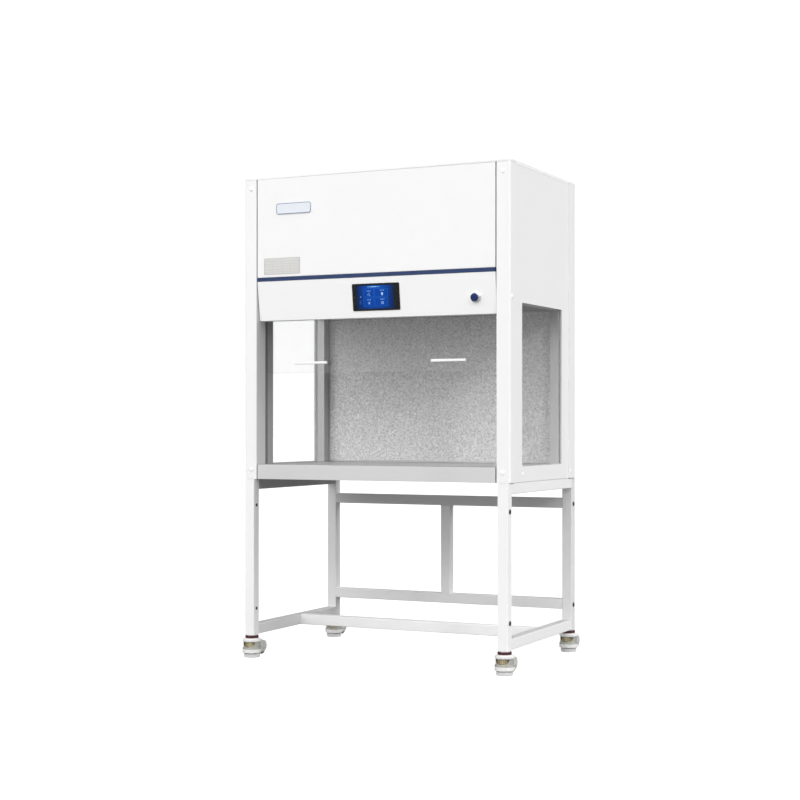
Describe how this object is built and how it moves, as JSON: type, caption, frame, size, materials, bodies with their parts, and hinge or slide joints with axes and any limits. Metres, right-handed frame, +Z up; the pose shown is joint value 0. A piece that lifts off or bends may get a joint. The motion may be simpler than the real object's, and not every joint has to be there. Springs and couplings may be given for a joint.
{
  "type": "laminar flow cabinet",
  "caption": "Horizontal laminar flow cabinet with a sliding glass sash, side windows, filter wall and control panel, on a tube stand with levelling casters.",
  "frame": {"origin": "floor level under the feet, centre of the outer box seen from above", "axes": "+Z up, +X to the right seen from the front, +Y towards the back; the user faces +Y"},
  "size_m": [1.119, 0.79, 1.8415],
  "materials": {
    "front_legs": "powder coated, satin",
    "rear_legs": "powder coated, satin",
    "upper_side_beams": "powder coated, satin",
    "lower_side_beams": "powder coated, satin",
    "rear_upper_beam": "powder coated, satin",
    "rear_lower_beam": "powder coated, satin",
    "rear_post": "powder coated, satin",
    "cross_beam": "powder coated, satin",
    "stand_bolts": "brushed",
    "base_pan": "powder coated, satin",
    "work_tray": "brushed",
    "front_columns": "powder coated, satin",
    "side_panel_left": "powder coated, satin",
    "side_panel_right": "powder coated, satin",
    "inner_walls": "brushed",
    "side_windows": "clear",
    "top_panel": "powder coated, satin",
    "back_panel": "powder coated, satin",
    "upper_front_panel": "powder coated, satin",
    "trim_stripe": "matt",
    "control_panel": "powder coated, satin",
    "name_plate": "glossy",
    "data_plate": "satin",
    "screen_bezel": "matt",
    "screen_display": "glossy",
    "button_bezel": "brushed",
    "chamber_ceiling": "brushed",
    "lamp_fixture": "brushed",
    "lamp_tubes": "clear",
    "diffuser_screen": "perforated, matt",
    "hepa_filter": "matt",
    "fan_deck": "powder coated, satin",
    "fan_motor": "matt",
    "intake_filter": "matt",
    "control_box": "powder coated, satin",
    "power_inlet": "matt",
    "sash_tracks": "satin",
    "screw_caps": "matt",
    "caster_stems": "brushed",
    "seal_rings": "matt",
    "sash_glass": "clear",
    "sash_handles": "matt",
    "power_button": "glossy",
    "impeller": "satin",
    "caster_body_front_left": "painted, satin",
    "caster_wheel_front_left": "matt",
    "level_dial_front_left": "satin",
    "level_foot_front_left": "matt",
    "caster_body_front_right": "painted, satin",
    "caster_wheel_front_right": "matt",
    "level_dial_front_right": "satin",
    "level_foot_front_right": "matt",
    "caster_body_rear_left": "painted, satin",
    "caster_wheel_rear_left": "matt",
    "level_dial_rear_left": "satin",
    "level_foot_rear_left": "matt",
    "caster_body_rear_right": "painted, satin",
    "caster_wheel_rear_right": "matt",
    "level_dial_rear_right": "satin",
    "level_foot_rear_right": "matt"
  },
  "bodies": {
    "cabinet": {"front_legs": "front_legs", "rear_legs": "rear_legs", "upper_side_beams": "upper_side_beams", "lower_side_beams": "lower_side_beams", "rear_upper_beam": "rear_upper_beam", "rear_lower_beam": "rear_lower_beam", "rear_post": "rear_post", "cross_beam": "cross_beam", "stand_bolts": "stand_bolts", "base_pan": "base_pan", "work_tray": "work_tray", "front_columns": "front_columns", "side_panel_left": "side_panel_left", "side_panel_right": "side_panel_right", "inner_walls": "inner_walls", "side_windows": "side_windows", "top_panel": "top_panel", "back_panel": "back_panel", "upper_front_panel": "upper_front_panel", "trim_stripe": "trim_stripe", "control_panel": "control_panel", "name_plate": "name_plate", "data_plate": "data_plate", "screen_bezel": "screen_bezel", "screen_display": "screen_display", "button_bezel": "button_bezel", "chamber_ceiling": "chamber_ceiling", "lamp_fixture": "lamp_fixture", "lamp_tubes": "lamp_tubes", "diffuser_screen": "diffuser_screen", "hepa_filter": "hepa_filter", "fan_deck": "fan_deck", "fan_motor": "fan_motor", "intake_filter": "intake_filter", "control_box": "control_box", "power_inlet": "power_inlet", "sash_tracks": "sash_tracks", "screw_caps": "screw_caps", "caster_stems": "caster_stems", "seal_rings": "seal_rings"},
    "sash": {"sash_glass": "sash_glass", "sash_handles": "sash_handles"},
    "button": {"power_button": "power_button"},
    "fan_wheel": {"impeller": "impeller"},
    "caster_front_left": {"caster_body_front_left": "caster_body_front_left"},
    "wheel_front_left": {"caster_wheel_front_left": "caster_wheel_front_left"},
    "dial_front_left": {"level_dial_front_left": "level_dial_front_left"},
    "foot_front_left": {"level_foot_front_left": "level_foot_front_left"},
    "caster_front_right": {"caster_body_front_right": "caster_body_front_right"},
    "wheel_front_right": {"caster_wheel_front_right": "caster_wheel_front_right"},
    "dial_front_right": {"level_dial_front_right": "level_dial_front_right"},
    "foot_front_right": {"level_foot_front_right": "level_foot_front_right"},
    "caster_rear_left": {"caster_body_rear_left": "caster_body_rear_left"},
    "wheel_rear_left": {"caster_wheel_rear_left": "caster_wheel_rear_left"},
    "dial_rear_left": {"level_dial_rear_left": "level_dial_rear_left"},
    "foot_rear_left": {"level_foot_rear_left": "level_foot_rear_left"},
    "caster_rear_right": {"caster_body_rear_right": "caster_body_rear_right"},
    "wheel_rear_right": {"caster_wheel_rear_right": "caster_wheel_rear_right"},
    "dial_rear_right": {"level_dial_rear_right": "level_dial_rear_right"},
    "foot_rear_right": {"level_foot_rear_right": "level_foot_rear_right"}
  },
  "joints": [
    {"name": "sash_slide", "type": "slide", "parent": "cabinet", "child": "sash", "axis": [0, 0, 1], "range_m": [-0.345, 0.135]},
    {"name": "button_push", "type": "slide", "parent": "cabinet", "child": "button", "axis": [0, 0.9928, 0.1198], "range_m": [0, 0.0035], "stiffness_N_per_m": 600, "springref_m": -0.003},
    {"name": "fan_spin", "type": "hinge", "parent": "cabinet", "child": "fan_wheel", "pos_m": [0, 0.01, 1.645], "axis": [0, 0, 1], "continuous": true},
    {"name": "swivel_front_left", "type": "hinge", "parent": "cabinet", "child": "caster_front_left", "pos_m": [-0.5235, -0.359, 0.068], "axis": [0, 0, 1], "continuous": true},
    {"name": "roll_front_left", "type": "hinge", "parent": "caster_front_left", "child": "wheel_front_left", "pos_m": [-0.5235, -0.299, 0.0295], "axis": [1, 0, 0], "continuous": true},
    {"name": "dial_turn_front_left", "type": "hinge", "parent": "caster_front_left", "child": "dial_front_left", "pos_m": [-0.5235, -0.359, 0.044], "axis": [0, 0, 1], "range_deg": [-1234, 1645]},
    {"name": "foot_lift_front_left", "type": "slide", "parent": "caster_front_left", "child": "foot_front_left", "axis": [0, 0, 1], "range_m": [-0.0061, 0.0081]},
    {"name": "swivel_front_right", "type": "hinge", "parent": "cabinet", "child": "caster_front_right", "pos_m": [0.5235, -0.359, 0.068], "axis": [0, 0, 1], "continuous": true},
    {"name": "roll_front_right", "type": "hinge", "parent": "caster_front_right", "child": "wheel_front_right", "pos_m": [0.5235, -0.299, 0.0295], "axis": [1, 0, 0], "continuous": true},
    {"name": "dial_turn_front_right", "type": "hinge", "parent": "caster_front_right", "child": "dial_front_right", "pos_m": [0.5235, -0.359, 0.044], "axis": [0, 0, 1], "range_deg": [-1234, 1645]},
    {"name": "foot_lift_front_right", "type": "slide", "parent": "caster_front_right", "child": "foot_front_right", "axis": [0, 0, 1], "range_m": [-0.0061, 0.0081]},
    {"name": "swivel_rear_left", "type": "hinge", "parent": "cabinet", "child": "caster_rear_left", "pos_m": [-0.5235, 0.31, 0.068], "axis": [0, 0, 1], "continuous": true},
    {"name": "roll_rear_left", "type": "hinge", "parent": "caster_rear_left", "child": "wheel_rear_left", "pos_m": [-0.5235, 0.37, 0.0295], "axis": [1, 0, 0], "continuous": true},
    {"name": "dial_turn_rear_left", "type": "hinge", "parent": "caster_rear_left", "child": "dial_rear_left", "pos_m": [-0.5235, 0.31, 0.044], "axis": [0, 0, 1], "range_deg": [-1234, 1645]},
    {"name": "foot_lift_rear_left", "type": "slide", "parent": "caster_rear_left", "child": "foot_rear_left", "axis": [0, 0, 1], "range_m": [-0.0061, 0.0081]},
    {"name": "swivel_rear_right", "type": "hinge", "parent": "cabinet", "child": "caster_rear_right", "pos_m": [0.5235, 0.31, 0.068], "axis": [0, 0, 1], "continuous": true},
    {"name": "roll_rear_right", "type": "hinge", "parent": "caster_rear_right", "child": "wheel_rear_right", "pos_m": [0.5235, 0.37, 0.0295], "axis": [1, 0, 0], "continuous": true},
    {"name": "dial_turn_rear_right", "type": "hinge", "parent": "caster_rear_right", "child": "dial_rear_right", "pos_m": [0.5235, 0.31, 0.044], "axis": [0, 0, 1], "range_deg": [-1234, 1645]},
    {"name": "foot_lift_rear_right", "type": "slide", "parent": "caster_rear_right", "child": "foot_rear_right", "axis": [0, 0, 1], "range_m": [-0.0061, 0.0081]}
  ],
  "couplings": [
    {"joint": "foot_lift_front_left", "follows": "dial_turn_front_left", "m_per_rad": 0.00027852},
    {"joint": "foot_lift_front_right", "follows": "dial_turn_front_right", "m_per_rad": 0.00027852},
    {"joint": "foot_lift_rear_left", "follows": "dial_turn_rear_left", "m_per_rad": 0.00027852},
    {"joint": "foot_lift_rear_right", "follows": "dial_turn_rear_right", "m_per_rad": 0.00027852}
  ]
}
